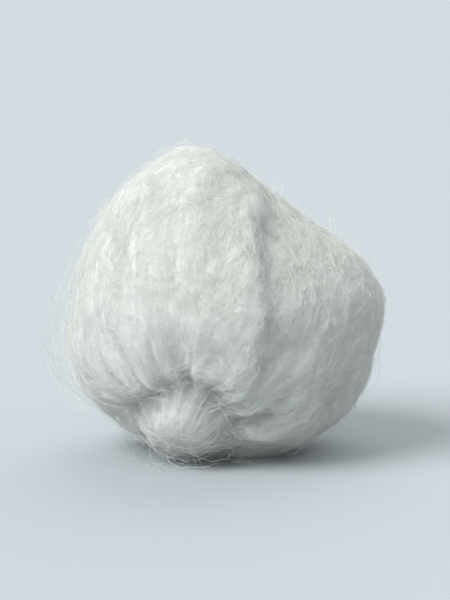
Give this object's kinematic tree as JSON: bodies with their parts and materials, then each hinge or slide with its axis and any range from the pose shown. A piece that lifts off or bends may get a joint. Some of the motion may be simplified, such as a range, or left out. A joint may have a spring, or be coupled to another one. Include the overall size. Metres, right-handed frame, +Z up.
{
  "type": "cotton ball",
  "caption": "Soft egg-shaped wad of rolled cotton: smooth leaning crown, one end gathered and tucked into pleats, lapped outer turns, and a small flat to rest on.",
  "frame": {"origin": "centre of the small flat that the ball rests on", "axes": "+Z up from the rest flat to the crown, -Y towards the front with the gathered end low on its left, +X to the right seen from the front"},
  "size_m": [0.0386, 0.0377, 0.0376],
  "materials": {
    "cotton": "dull white carded cotton, softly fibrous, with no shine"
  },
  "bodies": {
    "root": {"cotton_ball": "cotton"}
  },
  "joints": []
}
